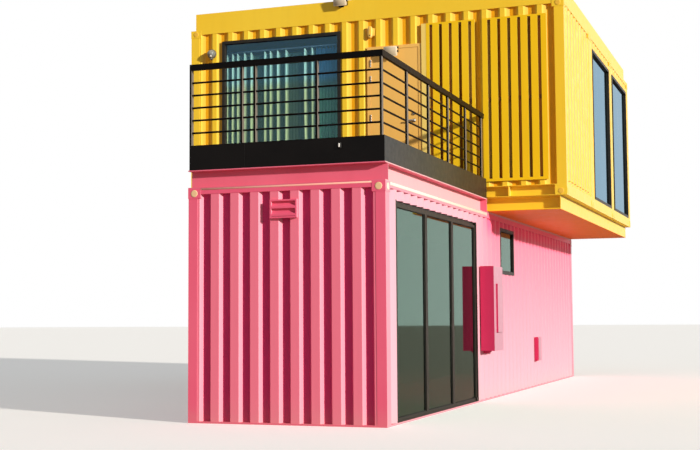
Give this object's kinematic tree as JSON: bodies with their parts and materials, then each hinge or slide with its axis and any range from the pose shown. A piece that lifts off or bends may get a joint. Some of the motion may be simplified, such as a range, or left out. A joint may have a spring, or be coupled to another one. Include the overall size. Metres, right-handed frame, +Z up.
{
  "type": "shipping container cabin",
  "caption": "Two-storey cabin of corrugated steel containers: a long pink ground container with a glazed front and a roof terrace carries a wider yellow upper storey set across it",
  "frame": {"origin": "centre of the ground container's footprint, at the ground", "axes": "the ground container's length along Y with its front at -Y, its width along X with the storefront at +X, Z up"},
  "size_m": [6.064, 12.225, 6.187],
  "materials": {
    "pink_steel": "satin pink paint",
    "yellow_steel": "satin yellow paint",
    "peach_door": "satin peach paint",
    "black_steel": "satin black paint",
    "dark_frame": "satin dark grey coating",
    "storefront_glazing": "greenish clear glass",
    "window_glazing": "clear glass",
    "deck_boards": "oiled boards",
    "floor_lining": "matt floor panels",
    "lamp_white": "gloss white",
    "curtain_cloth": "matt pale green cloth"
  },
  "bodies": {
    "root": {"ground_floor": "floor_lining", "ground_sill": "pink_steel", "ground_corner_posts": "pink_steel", "ground_top_rails": "pink_steel", "ground_front_wall": "pink_steel", "ground_left_wall": "pink_steel", "ground_back_wall": "pink_steel", "ground_right_wall_front": "pink_steel", "ground_right_wall_over": "pink_steel", "ground_right_wall_rear": "pink_steel", "ground_roof": "pink_steel", "front_vent": "pink_steel", "storefront_frame": "dark_frame", "storefront_leaves": "dark_frame", "storefront_glass": "storefront_glazing", "small_window_frame": "dark_frame", "small_window_glass": "window_glazing", "wall_cabinet": "pink_steel", "meter_box": "pink_steel", "terrace_beams": "pink_steel", "terrace_deck": "deck_boards", "terrace_fascia": "black_steel", "railing_front": "black_steel", "railing_right": "black_steel", "upper_base_beams": "yellow_steel", "upper_soffits": "yellow_steel", "upper_floor": "floor_lining", "upper_posts_near": "yellow_steel", "upper_posts_middle": "yellow_steel", "upper_posts_far": "yellow_steel", "upper_rails": "yellow_steel", "upper_front_wall": "yellow_steel", "upper_back_wall": "yellow_steel", "upper_end_walls": "yellow_steel", "end_window_frames": "dark_frame", "end_window_glass": "window_glazing", "front_window_frame": "dark_frame", "front_window_glass": "window_glazing", "upper_door": "peach_door", "upper_door_frame": "peach_door", "slat_screens": "yellow_steel", "upper_roof": "yellow_steel", "roof_parapet": "yellow_steel", "outside_lamps": "lamp_white"}
  },
  "joints": []
}
